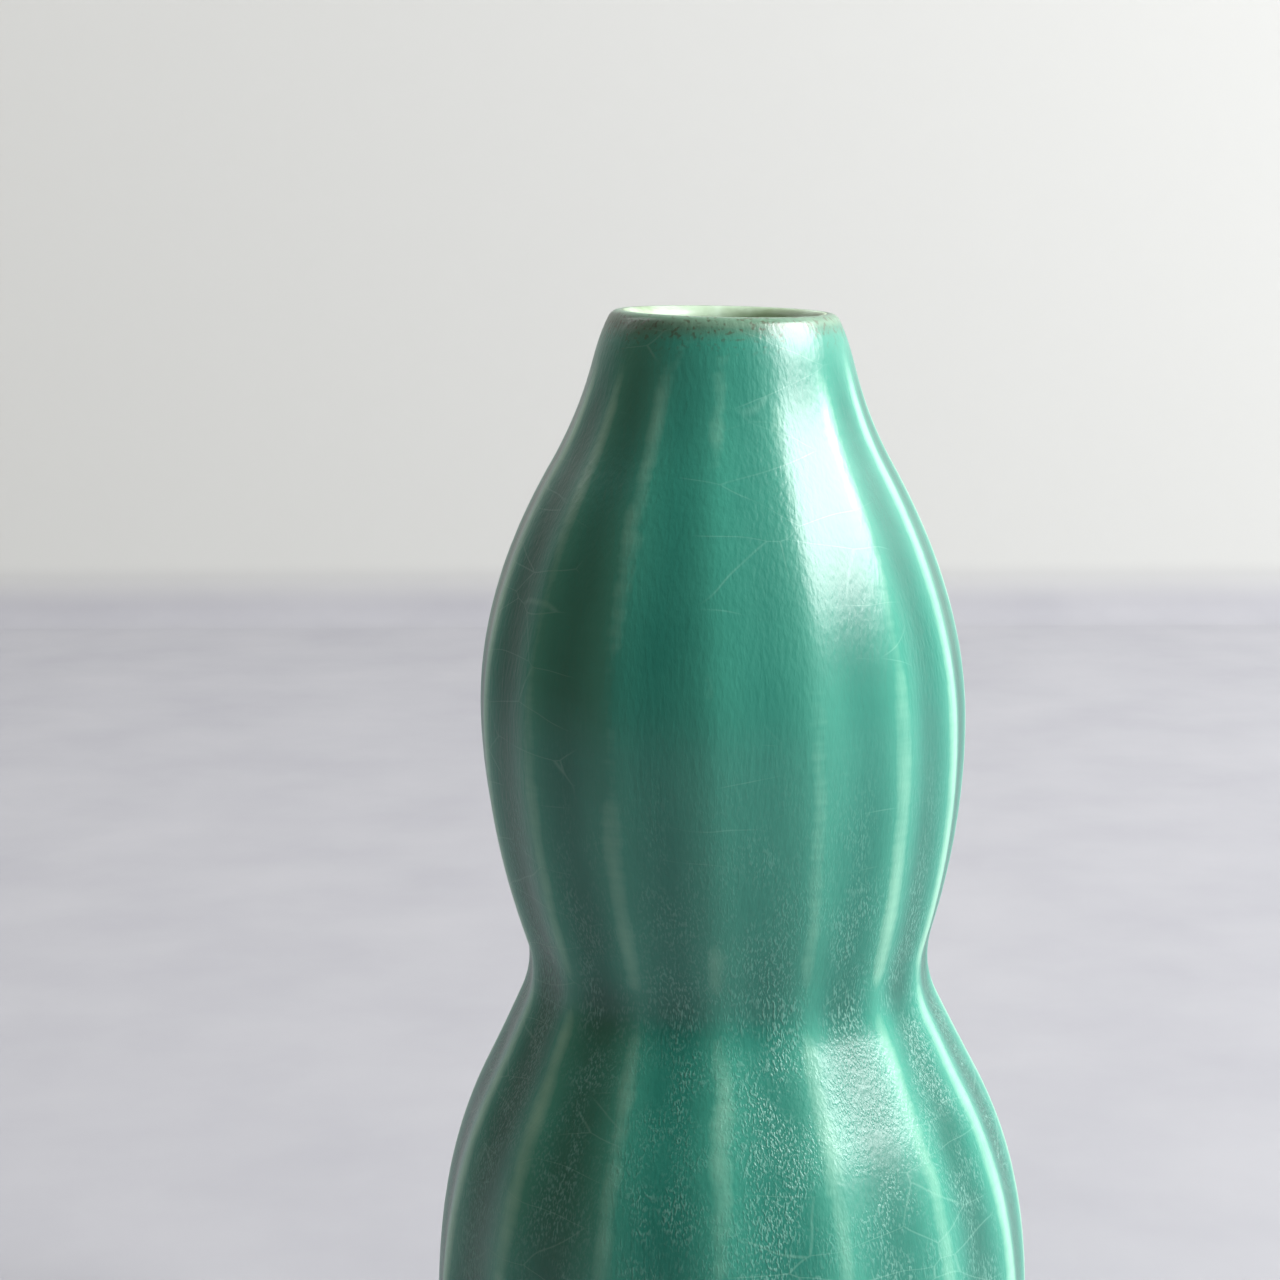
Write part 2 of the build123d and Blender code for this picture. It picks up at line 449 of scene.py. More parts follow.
@dataclass
class Sheet:
    """A material being drawn up: its tree, its shader and its coordinates in millimetres."""

    name: str
    material: bpy.types.Material = field(init=False)
    tree: bpy.types.NodeTree = field(init=False)
    shader: bpy.types.Node = field(init=False)
    place: bpy.types.NodeSocket = field(init=False)

    def __post_init__(self) -> None:
        """Start the material with an empty shader."""
        self.material = bpy.data.materials.new(self.name)
        self.material.use_nodes = True
        self.tree = self.material.node_tree
        self.tree.nodes.clear()
        self.shader = self.add("ShaderNodeBsdfPrincipled")
        self.add("ShaderNodeOutputMaterial", None, {"Surface": self.shader.outputs[0]})
        metres = self.add("ShaderNodeTexCoord").outputs["Object"]
        scaled = self.add("ShaderNodeVectorMath", {"operation": "SCALE"}, {0: metres, 3: 1 / MM})
        self.place = scaled.outputs[0]

    def add(
        self,
        kind: str,
        settings: Settings | None = None,
        inputs: Inputs | None = None,
        stops: Stops | None = None,
    ) -> bpy.types.Node:
        """Add one node to this material."""
        return add_node(self.tree, kind, settings, inputs, stops)

    def sum(self, operation: str, first: Any, second: Any = 0.0, third: Any = 0.0) -> Any:
        """Work out one number from up to three.

        Args:
            operation: Blender's name for the operation.
            first: a value or a socket.
            second: a value or a socket.
            third: a value or a socket.

        Returns:
            The socket that holds the result.
        """
        inputs = {0: first, 1: second, 2: third}
        return self.add("ShaderNodeMath", {"operation": operation}, inputs).outputs[0]

    def product(self, *shares: Any) -> Any:
        """Multiply any number of values or sockets together.

        Args:
            *shares: the values or sockets, at least two of them.

        Returns:
            The socket that holds the product.
        """
        whole = shares[0]
        for share in shares[1:]:
            whole = self.sum("MULTIPLY", whole, share)
        return whole

    def sway(self, value: Any, grain: Grain, reach: float) -> Any:
        """Make a value uneven by a pattern, from half the reach below it to half above."""
        centred = self.sum("MULTIPLY_ADD", grain.noise(self.tree, self.place), reach, -reach / 2)
        return self.sum("ADD", value, centred)

    def band(self, value: Any, low: float, high: float) -> Any:
        """Fade a value from 0 at low to 1 at high; low may be the larger.

        Args:
            value: the socket to read.
            low: where the result is 0.
            high: where the result is 1.

        Returns:
            The socket that holds the share.
        """
        settings = {"interpolation_type": "SMOOTHSTEP"}
        inputs = {"Value": value, "From Min": low, "From Max": high}
        return self.add("ShaderNodeMapRange", settings, inputs).outputs[0]

    def blend(self, share: Any, under: Any, over: Any) -> Any:
        """Lay one colour over another by a share.

        Args:
            share: a value or a socket.
            under: a colour or a socket.
            over: a colour or a socket.

        Returns:
            The socket that holds the mixed colour.
        """
        inputs = {0: share, 6: under, 7: over}
        return self.add("ShaderNodeMix", {"data_type": "RGBA"}, inputs).outputs[2]

    def relief(self, height: Any, depth: float) -> None:
        """Raise the surface by a height times a depth.

        Args:
            height: a socket, from about 0 to 1.
            depth: how far a height of 1 rises, in millimetres.
        """
        inputs = {"Height": height, "Distance": depth * MM, "Strength": 1.0}
        bump = self.add("ShaderNodeBump", None, inputs)
        self.tree.links.new(bump.outputs[0], self.shader.inputs["Normal"])

    def finish(self, colour: Any, roughness: Any, ior: float) -> bpy.types.Material:
        """Link the colour and roughness, set the IOR and hand the material over.

        Args:
            colour: the colour's socket.
            roughness: the roughness's socket.
            ior: index of refraction of the surface.

        Returns:
            The finished material.
        """
        self.tree.links.new(colour, self.shader.inputs["Base Color"])
        self.tree.links.new(roughness, self.shader.inputs["Roughness"])
        self.shader.inputs["IOR"].default_value = ior
        return self.material


@dataclass(frozen=True)
class SatinTealGlaze:
    """Copper-teal stoneware glaze, dipped and fired, with zinc crystals grown in its surface.

    It is a milkier green where it runs thin over the ribs and a deep teal where it pools in the
    flutes and round the waist, so the eye sees broad soft stripes. On the vase's two sides the
    stripes are made stronger still: the paler ribs there are partly painted light and the deeper
    flutes partly painted shade. Fine crystals, drawn out downwards, cloud the pools and break the
    satin shine into streaks.
    """

    rim_height: float
    waist_height: float
    name: str = "satin_teal_glaze_dipped"
    thin: str = "#8CC3AA"
    middle: str = "#3C8F7B"
    deep: str = "#2A7A69"
    deepest: str = "#1B6052"
    crystal: str = "#7FB0A2"
    lip: str = "#5F755E"
    speck: str = "#4B432F"
    craze_line: str = "#A5CFBD"
    ior: float = 1.52
    gloss: float = 0.31
    crystal_dullness: float = 0.2
    # Depths, from 0 where it is thin to 1 in the deepest pool, at which the two middle colours lie.
    middle_depth: float = 0.25
    deep_depth: float = 0.6
    # Runs and clouds shift the colour by these shares of the whole range from thin to deep.
    run: Grain = Grain(size=3.4, stretch=8.0, detail=3.0)
    run_reach: float = 0.22
    cloud: Grain = Grain(size=16.0, stretch=2.2, detail=3.0)
    cloud_reach: float = 0.42
    throwing: Grain = Grain(size=5.0, stretch=0.22, detail=2.0)
    throwing_reach: float = 0.09
    # Crystals are about 0.2 mm wide; they are drawn at 0.26 mm, so that they show.
    crystals: Grain = Grain(size=0.26, stretch=2.6, detail=1.0)
    crystal_range: tuple[float, float] = (0.44, 0.72)
    crystal_beds: Grain = Grain(size=4.2, stretch=1.8, detail=3.0)
    bed_range: tuple[float, float] = (0.3, 0.62)
    crystal_cover: float = 0.6
    # How much of the crystals' growth hangs on the depth of the pool; the rest grows anywhere.
    crystal_pooling: float = 0.8
    crystals_start_below_rim: float = 42.0
    ripple: Grain = Grain(size=0.55, stretch=3.5, detail=2.0)
    specks: Grain = Grain(size=0.6, stretch=1.0, detail=1.0)
    speck_range: tuple[float, float] = (0.54, 0.7)
    speck_cover: float = 0.6
    collar: tuple[float, float] = (5.5, 1.0)
    rim_band: tuple[float, float] = (3.2, 0.6)
    lip_cover: float = 0.75
    # Craze lines run mostly round the vase, so their cells are drawn wide and low. A line is a
    # hair's breadth, under 0.1 mm; it is drawn about 0.24 mm wide, so that it shows.
    craze_cell: float = 16.0
    craze_flatness: float = 2.6
    craze_bend: float = 9.0
    craze_bend_length: float = 20.0
    craze_width: float = 0.24
    craze_cover: float = 0.16
    craze_patches: tuple[float, float] = (0.47, 0.58)
    relief_depth: float = 0.05

    def colour_of_depth(self, sheet: Sheet, pooled: Any) -> Any:
        """Colour the glaze by its depth, made uneven by runs, clouds and throwing rings.

        Args:
            sheet: the material being drawn up.
            pooled: the depth of the glaze, from 0 to 1; on the outer coat it also holds stripes made
                stronger on the vase's two sides, as painted light on the ribs and painted shade in
                the flutes.

        Returns:
            The colour's socket.
        """
        uneven = sheet.sway(pooled, self.run, self.run_reach)
        uneven = sheet.sway(uneven, self.cloud, self.cloud_reach)
        uneven = sheet.sway(uneven, self.throwing, self.throwing_reach)
        stops = [
            (0.0, self.thin),
            (self.middle_depth, self.middle),
            (self.deep_depth, self.deep),
            (1.0, self.deepest),
        ]
        return sheet.add("ShaderNodeValToRGB", None, {0: uneven}, stops).outputs[0]

    def crystal_growth(self, sheet: Sheet, pooled: Any, height: Any) -> Any:
        """Grow crystals in beds, thickest in the pools and low on the vase.

        Args:
            sheet: the material being drawn up.
            pooled: the depth of the glaze, from 0 to 1.
            height: the height on the vase, in millimetres.

        Returns:
            The socket that holds how thickly the crystals lie.
        """
        needles = sheet.band(self.crystals.noise(sheet.tree, sheet.place), *self.crystal_range)
        beds = sheet.band(self.crystal_beds.noise(sheet.tree, sheet.place), *self.bed_range)
        start = self.rim_height - self.crystals_start_below_rim
        low_down = sheet.band(height, start, self.waist_height)
        anywhere = 1 - self.crystal_pooling
        in_pools = sheet.sum("MULTIPLY_ADD", pooled, self.crystal_pooling, anywhere)
        return sheet.product(needles, beds, low_down, in_pools)

    def craze_lines(self, sheet: Sheet) -> Any:
        """Draw the few long, bent hairlines of a crazed glaze.

        Args:
            sheet: the material being drawn up.

        Returns:
            The socket that holds 1 on a line and 0 off it.
        """
        bends = {"Vector": sheet.place, "Scale": 1 / self.craze_bend_length}
        bend = sheet.add("ShaderNodeTexNoise", None, bends).outputs["Color"]
        reach = (self.craze_bend, self.craze_bend, self.craze_bend / self.craze_flatness)
        shift = {0: bend, 1: reach, 2: sheet.place}
        bent = sheet.add("ShaderNodeVectorMath", {"operation": "MULTIPLY_ADD"}, shift)
        flat = {0: bent.outputs[0], 1: (1.0, 1.0, self.craze_flatness)}
        cell = sheet.add("ShaderNodeVectorMath", {"operation": "MULTIPLY"}, flat)
        cells = {"Vector": cell.outputs[0], "Scale": 1 / self.craze_cell}
        crack = sheet.add("ShaderNodeTexVoronoi", {"feature": "DISTANCE_TO_EDGE"}, cells)
        line = sheet.band(crack.outputs["Distance"], self.craze_width / self.craze_cell, 0.0)
        patches = sheet.band(self.cloud.noise(sheet.tree, sheet.place), *self.craze_patches)
        return sheet.product(line, patches)

    def dress_lip(self, sheet: Sheet, colour: Any, height: Any) -> Any:
        """Thin the glaze to grey-green on the lip, with iron specks drawn down from it.

        Args:
            sheet: the material being drawn up.
            colour: the colour of the glaze so far.
            height: the height on the vase, in millimetres.

        Returns:
            The colour's socket.
        """
        low, high = (self.rim_height - reach for reach in self.rim_band)
        thinned = sheet.product(sheet.band(height, low, high), self.lip_cover)
        colour = sheet.blend(thinned, colour, linear(self.lip))
        low, high = (self.rim_height - reach for reach in self.collar)
        specks = sheet.band(self.specks.noise(sheet.tree, sheet.place), *self.speck_range)
        cover = sheet.product(specks, sheet.band(height, low, high), self.speck_cover)
        return sheet.blend(cover, colour, linear(self.speck))

    def material(self) -> bpy.types.Material:
        """Draw up the glaze from its depth, its crystals, its craze lines and its lip.

        Returns:
            The finished material.
        """
        sheet = Sheet(self.name)
        # On the outer coat this depth also holds stripes made stronger on the vase's two sides:
        # painted light on the ribs, painted shade in the flutes.
        pooled = sheet.add("ShaderNodeAttribute", {"attribute_name": "glaze_depth"}).outputs["Fac"]
        height = sheet.add("ShaderNodeSeparateXYZ", None, {0: sheet.place}).outputs["Z"]
        colour = self.colour_of_depth(sheet, pooled)
        crystals = self.crystal_growth(sheet, pooled, height)
        over = sheet.product(crystals, self.crystal_cover)
        colour = sheet.blend(over, colour, linear(self.crystal))
        lines = sheet.product(self.craze_lines(sheet), self.craze_cover)
        colour = sheet.blend(lines, colour, linear(self.craze_line))
        colour = self.dress_lip(sheet, colour, height)
        rough = sheet.sum("MULTIPLY_ADD", crystals, self.crystal_dullness, self.gloss)
        raised = sheet.sum("ADD", self.ripple.noise(sheet.tree, sheet.place), crystals)
        sheet.relief(raised, self.relief_depth)
        return sheet.finish(colour, rough, self.ior)


@dataclass(frozen=True)
class LinerGlaze:
    """Thin pale green glaze, poured in and out: satin, with the clay warming it in patches."""

    name: str = "pale_liner_glaze_poured"
    pale: str = "#C3D9C4"
    warm: str = "#8FA583"
    ior: float = 1.5
    gloss: float = 0.34
    gloss_range: float = 0.12
    patches: Grain = Grain(size=6.0, stretch=2.0, detail=3.0)
    patch_range: tuple[float, float] = (0.35, 0.68)
    pits: Grain = Grain(size=0.8, detail=2.0)
    relief_depth: float = 0.03

    def material(self) -> bpy.types.Material:
        """Draw up the glaze from its patches and its fine pits.

        Returns:
            The finished material.
        """
        sheet = Sheet(self.name)
        patches = self.patches.noise(sheet.tree, sheet.place)
        stops = list(zip(self.patch_range, (self.pale, self.warm)))
        colour = sheet.add("ShaderNodeValToRGB", None, {0: patches}, stops).outputs[0]
        rough = sheet.sum("MULTIPLY_ADD", patches, self.gloss_range, self.gloss)
        sheet.relief(self.pits.noise(sheet.tree, sheet.place), self.relief_depth)
        return sheet.finish(colour, rough, self.ior)


@dataclass(frozen=True)
class FiredStoneware:
    """Bare buff stoneware, thrown, trimmed and fired: matt and sandy, with iron specks."""

    name: str = "buff_stoneware_trimmed"
    pale: str = "#B7A17E"
    toasted: str = "#8A6C4A"
    iron: str = "#4B382A"
    ior: float = 1.5
    dryness: float = 0.78
    dryness_range: float = 0.15
    toast: Grain = Grain(size=7.0, detail=3.0)
    toast_range: tuple[float, float] = (0.38, 0.66)
    sand: Grain = Grain(size=0.45, detail=3.0)
    specks: Grain = Grain(size=0.9, detail=0.0)
    speck_range: tuple[float, float] = (0.66, 0.74)
    relief_depth: float = 0.12

    def material(self) -> bpy.types.Material:
        """Draw up the clay from its toasting, its sand and its iron.

        Returns:
            The finished material.
        """
        sheet = Sheet(self.name)
        toast = self.toast.noise(sheet.tree, sheet.place)
        sand = self.sand.noise(sheet.tree, sheet.place)
        stops = list(zip(self.toast_range, (self.pale, self.toasted)))
        colour = sheet.add("ShaderNodeValToRGB", None, {0: toast}, stops).outputs[0]
        iron = sheet.band(self.specks.noise(sheet.tree, sheet.place), *self.speck_range)
        colour = sheet.blend(iron, colour, linear(self.iron))
        rough = sheet.sum("MULTIPLY_ADD", sand, self.dryness_range, self.dryness)
        sheet.relief(sand, self.relief_depth)
        return sheet.finish(colour, rough, self.ior)


@dataclass(frozen=True)
class PaintedBoard:
    """A smooth sheet of board, sprayed with matt paint: a plain ground for the vase."""

    name: str = "painted_board_matt"
    floor: str = "#A4A4A9"
    floor_shade: str = "#9D9DA3"
    wall: str = "#CECFCC"
    ior: float = 1.45
    flatness: float = 0.8
    flatness_range: float = 0.1
    mottle: Grain = Grain(size=45.0, detail=4.0)
    mottle_range: tuple[float, float] = (0.3, 0.7)
    wall_start: float = 6.0
    wall_full: float = 26.0

    def material(self) -> bpy.types.Material:
        """Draw up the board: grey on the floor, pale where it turns up as the wall.

        Returns:
            The finished material.
        """
        sheet = Sheet(self.name)
        mottle = self.mottle.noise(sheet.tree, sheet.place)
        stops = list(zip(self.mottle_range, (self.floor, self.floor_shade)))
        ground = sheet.add("ShaderNodeValToRGB", None, {0: mottle}, stops).outputs[0]
        split = sheet.add("ShaderNodeSeparateXYZ", None, {0: sheet.place})
        rise = sheet.band(split.outputs["Z"], self.wall_start, self.wall_full)
        colour = sheet.blend(rise, ground, linear(self.wall))
        rough = sheet.sum("MULTIPLY_ADD", mottle, self.flatness_range, self.flatness)
        return sheet.finish(colour, rough, self.ior)


# ---------------------------------------------------------------- the pieces


@dataclass
class OuterGlaze:
    """The coat of glaze on the outside, from the glaze line up over the lip."""

    form: GourdForm
    finish: SatinTealGlaze
    row_spacing: float = 0.6
    hidden_spacing: float = 4.0
    lip_rows: int = 12
    line_wave: float = 0.35
    line_waves: int = 5
    line_bead: float = 0.9
    line_wave_reach: float = 3.6
    # Depth of the even coat between thin and deep. It runs thinner on the neck. The stripes are made
    # stronger on the vase's two sides, partly as painted light on the ribs and painted shade in the
    # flutes, and they fade out at the front and back above the fullest part of the upper belly.
    even_depth: float = 0.38
    neck_thinning: float = 0.25
    neck_thins: float = 140.0
    stripes_fade: float = 125.0
    waist_pool: float = 0.2
    waist_pool_reach: float = 2.6

    def outside_radii(self, height: float) -> np.ndarray:
        """Radius of the glaze's outer surface for every point at one height.

        Args:
            height: the height.

        Returns:
            The radii, in millimetres.
        """
        form = self.form
        ridge = form.radius_on(form.outside_stations(), height)
        depth = form.rib_depth_per_radius * ridge - form.glaze_pool
        return ridge - depth * form.rib_strength(height) * form.flutes()

    def inside_radii(self, height: float) -> np.ndarray:
        """Radius of the clay under the glaze for every point at one height.

        Args:
            height: the height.

        Returns:
            The radii, in millimetres.
        """
        form = self.form
        ridge = form.radius_on(form.outside_stations(), height)
        depth = form.rib_depth_per_radius * ridge * form.rib_strength(height)
        return ridge - form.glaze_coat - depth * form.flutes()

    def lip_rows_at(self, rounding: float) -> list[Row]:
        """Rows over the rounded lip, from the neck up to the crest.

        Args:
            rounding: radius of the rounding, in millimetres.

        Returns:
            The rows, from low to high.
        """
        form = self.form
        rows = []
        for tilt in np.linspace(form.lip_tilt, pi / 2, self.lip_rows):
            height = form.lip_centre_height + rounding * sin(tilt)
            rows.append(form.row(height, form.lip_crest_radius + rounding * cos(tilt)))
        return rows

    def build(self) -> bpy.types.Object:
        """Turn the coat as one closed shell and mark how deep the glaze lies on it, with painted
        light and shade that make the stripes stronger on the vase's two sides.

        Returns:
            The piece, riding on the body of the vase.
        """
        form = self.form
        line = form.glaze_line_height
        lip_height = form.outside_stations()[-1].height
        # Two waves whose counts to a turn share no divisor, so that the edge doesn't repeat.
        wave = self.line_wave * np.sin(self.line_waves * form.turns())
        wave += self.line_wave / 2 * np.sin((2 * self.line_waves + 1) * form.turns())
        rows: list[Row] = []
        depths_with_painted_side_light: list[np.ndarray] = []
        flutes, cut = form.flutes(), form.cut()
        for height in spread(line, lip_height, self.row_spacing)[:-1]:
            above = height - line
            bead = sqrt(max(0.0, 1 - (1 - min(above / self.line_bead, 1.0)) ** 2))
            radii = self.inside_radii(height) * (1 - bead) + self.outside_radii(height) * bead
            rows.append(form.row(height, radii, wave * (1 - ease(above, 0.0, self.line_wave_reach))))
            from_waist = (height - form.waist_height) / self.waist_pool_reach
            waist = self.waist_pool * np.exp(-(from_waist**2))
            # The stripes are made strongest on the vase's two sides: the paler ribs there are partly
            # painted light and the deeper flutes partly painted shade, on top of the glaze that
            # really runs thin over the ribs and pools in the flutes.
            low_down = ease(-height, -self.stripes_fade, -form.waist_height)
            share = form.rib_strength(height) * (cut + (1 - cut) * low_down)
            thinned = self.neck_thinning * ease(height, self.neck_thins, form.neck_height)
            even = self.even_depth * (1 - share * cut - thinned)
            depths_with_painted_side_light.append(share * flutes + even + waist)
        rows += self.lip_rows_at(form.lip_rounding)
        inner_crest = form.lip_crest_radius - form.lip_crest_width
        rows.append(form.row(form.rim_height, inner_crest))
        rows.append(form.row(form.rim_height - form.glaze_coat, inner_crest))
        rows += reversed(self.lip_rows_at(form.lip_rounding - form.glaze_coat))
        for height in reversed(spread(line, lip_height, self.hidden_spacing)[:-1]):
            rows.append(form.row(height, self.inside_radii(height), wave if height == line else 0.0))
        piece = lathe("outer_glaze_coat", rows, None)
        paint(piece, "glaze_depth", np.concatenate(depths_with_painted_side_light))
        piece.data.materials.append(self.finish.material())
        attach(piece, "root")
        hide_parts("outer_glaze")
        return piece


@dataclass
class Hollow:
    """The outline of the vase's inside, which the clay and the liner glaze share."""

    form: GourdForm
    row_spacing: float = 2.0
    floor_rows: int = 24
    lip_rows: int = 8

    def rows(self, coat: float) -> list[Row]:
        """Rows of the inside surface, from the lip's crest down to the floor.

        Args:
            coat: thickness of the glaze on it.

        Returns:
            The rows, from high to low.
        """
        form = self.form
        rounding = form.lip_rounding - form.glaze_coat + coat
        crest = form.lip_crest_radius - form.lip_crest_width
        rows = []
        for tilt in np.linspace(0.0, pi / 2, self.lip_rows)[:-1]:
            radius = crest - rounding * sin(tilt)
            rows.append(form.row(form.lip_centre_height + rounding * cos(tilt), radius))
        stations = form.inside_stations(coat)
        for height in reversed(spread(stations[0].height, stations[-1].height, self.row_spacing)):
            rows.append(form.row(height, form.radius_on(stations, height)))
        side = stations[0].radius
        floor = form.floor_height + coat
        level = form.floor_level_radius
        rise = floor + form.floor_corner_rise
        # The floor and the lower part of the wall are one cubic curve with four control points.
        for share in np.linspace(1.0, 0.0, self.floor_rows)[1:-1]:
            first = 3 * share * (1 - share) ** 2
            second = 3 * share**2 * (1 - share)
            radius = first * level + second * side + share**3 * side
            height = ((1 - share) ** 3 + first) * floor + second * rise
            rows.append(form.row(height + share**3 * stations[0].height, radius))
        return rows


@dataclass
class ClayBody:
    """The stoneware pot itself, bare on its turned foot."""

    form: GourdForm
    coat: OuterGlaze
    hollow: Hollow
    finish: FiredStoneware
    foot_radius: float = 24.0
    foot_bevel: float = 0.8
    foot_ring_width: float = 4.5
    trim_step: float = 0.4
    recess_depth: float = 2.5
    recess_draft: float = 1.0
    # The ring's inner edge is broken by this much out along the ring and up into the recess.
    recess_edge_width: float = 0.15
    recess_edge_rise: float = 0.12
    row_spacing: float = 3.0
    recess_rows: int = 7
    edge_rows: int = 4

    def recess_radius(self, height: float) -> float:
        """Radius of the recess under the foot at one height."""
        wide = self.foot_radius - self.foot_bevel - self.foot_ring_width
        return wide - self.recess_draft * height / self.recess_depth

    def foot_rows(self) -> list[Row]:
        """Rows of the foot, from the middle of its recess out and up to the glaze line.

        Returns:
            The rows, in the order in which they join.
        """
        form = self.form
        rows = []
        top = self.recess_radius(self.recess_depth)
        for radius in np.linspace(0.0, top, self.recess_rows)[1:]:
            rows.append(form.row(self.recess_depth, radius))
        rows.append(form.row(self.recess_depth / 2, self.recess_radius(self.recess_depth / 2)))
        rows.append(form.row(self.recess_edge_rise, self.recess_radius(0.0)))
        rows.append(form.row(0.0, self.recess_radius(0.0) + self.recess_edge_width))
        for share in np.linspace(0.0, pi / 2, self.edge_rows):
            radius = self.foot_radius - self.foot_bevel * (1 - sin(share))
            rows.append(form.row(self.foot_bevel * (1 - cos(share)), radius))
        seat = form.glaze_line_radius - form.glaze_coat - self.trim_step
        for share in np.linspace(0.0, 1.0, self.edge_rows)[1:]:
            radius = self.foot_radius + (seat - self.foot_radius) * share
            height = self.foot_bevel + (form.glaze_line_height - self.foot_bevel) * share
            rows.append(form.row(height, radius))
        return rows

    def build(self) -> bpy.types.Object:
        """Turn the pot as one closed solid.

        Returns:
            The piece, riding on the body of the vase.
        """
        form = self.form
        rows = self.foot_rows()
        lip_height = form.outside_stations()[-1].height
        for height in spread(form.glaze_line_height, lip_height, self.row_spacing)[:-1]:
            rows.append(form.row(height, self.coat.inside_radii(height)))
        rows += self.coat.lip_rows_at(form.lip_rounding - form.glaze_coat)
        rows += self.hollow.rows(0.0)
        poles = (
            Vector((0.0, 0.0, self.recess_depth * MM)),
            Vector((0.0, 0.0, form.floor_height * MM)),
        )
        piece = lathe("stoneware_body", rows, poles)
        piece.data.materials.append(self.finish.material())
        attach(piece, "root")
        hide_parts("clay_body")
        return piece


@dataclass
class LinerCoat:
    """The thin coat of glaze inside, from the lip's crest down over the floor."""

    form: GourdForm
    hollow: Hollow
    finish: LinerGlaze

    def build(self) -> bpy.types.Object:
        """Turn the coat as one closed shell.

        Returns:
            The piece, riding on the body of the vase.
        """
        form = self.form
        surface = self.hollow.rows(form.glaze_coat)
        backing = self.hollow.rows(0.0)
        rows = [*reversed(backing), *surface]
        middle = form.row(form.floor_height, 0.0)[0][0]
        floor = form.floor_height
        poles = (
            Vector((middle, 0.0, floor * MM)),
            Vector((middle, 0.0, (floor + form.glaze_coat) * MM)),
        )
        piece = lathe("liner_glaze_coat", rows, poles)
        piece.data.materials.append(self.finish.material())
        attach(piece, "root")
        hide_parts("liner_glaze")
        return piece


@dataclass
class FootGlaze:
    """The disc of glaze in the recess under the foot, with the ripple of a brushed coat."""

    form: GourdForm
    body: ClayBody
    finish: SatinTealGlaze
    coat: float = 0.3
    disc_rows: int = 24
    ripple: float = 0.05
    ripple_length: float = 4.5
    ripple_waves: int = 7
    depth: float = 0.6

    def build(self) -> bpy.types.Object:
        """Lay the coat as one closed disc.

        Returns:
            The piece, riding on the body of the vase.
        """
        form = self.form
        ceiling = self.body.recess_depth
        level = ceiling - self.coat
        radii = np.linspace(0.0, self.body.recess_radius(level), self.disc_rows)[1:]
        rows = []
        for radius in radii:
            swirl = form.turns() * self.ripple_waves + FULL_TURN * radius / self.ripple_length
            rows.append(form.row(level, radius, self.ripple * np.sin(swirl) * radius / radii[-1]))
        rows.append(form.row(ceiling, self.body.recess_radius(ceiling)))
        middle = form.row(level, 0.0)[0][0]
        poles = (Vector((middle, 0.0, level * MM)), Vector((middle, 0.0, ceiling * MM)))
        piece = lathe("foot_glaze_disc", rows, poles)
        paint(piece, "glaze_depth", np.full(len(radii) * form.segments, self.depth))
        piece.data.materials.append(self.finish.material())
        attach(piece, "root")
        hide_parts("base_glaze")
        return piece


# ---------------------------------------------------------------- the studio


@dataclass(frozen=True)
class Softbox:
    """A window of soft light, aimed at a target. Sizes are in metres, directions in degrees."""

    name: str
    turn: float
    rise: float
    distance: float
    width: float
    height: float
    power: float
    colour: str = "#FFFFFF"
    target: tuple[float, float, float] = (0.0, 0.0, 0.1)

    def place(self) -> bpy.types.Object:
        """Hang the light; its turn runs from the front of the vase towards its right.

        Returns:
            The light's object.
        """
        light = bpy.data.lights.new(self.name, "AREA")
        light.shape = "RECTANGLE"
        light.size, light.size_y = self.width, self.height
        light.energy = self.power
        light.color = linear(self.colour)[:3]
        lamp = bpy.data.objects.new(self.name, light)
        bpy.context.scene.collection.objects.link(lamp)
        turn, rise = radians(self.turn), radians(self.rise)
        away = Vector((sin(turn) * cos(rise), -cos(turn) * cos(rise), sin(rise)))
        lamp.location = Vector(self.target) + away * self.distance
        lamp.rotation_euler = away.to_track_quat("Z", "Y").to_euler()
        return lamp


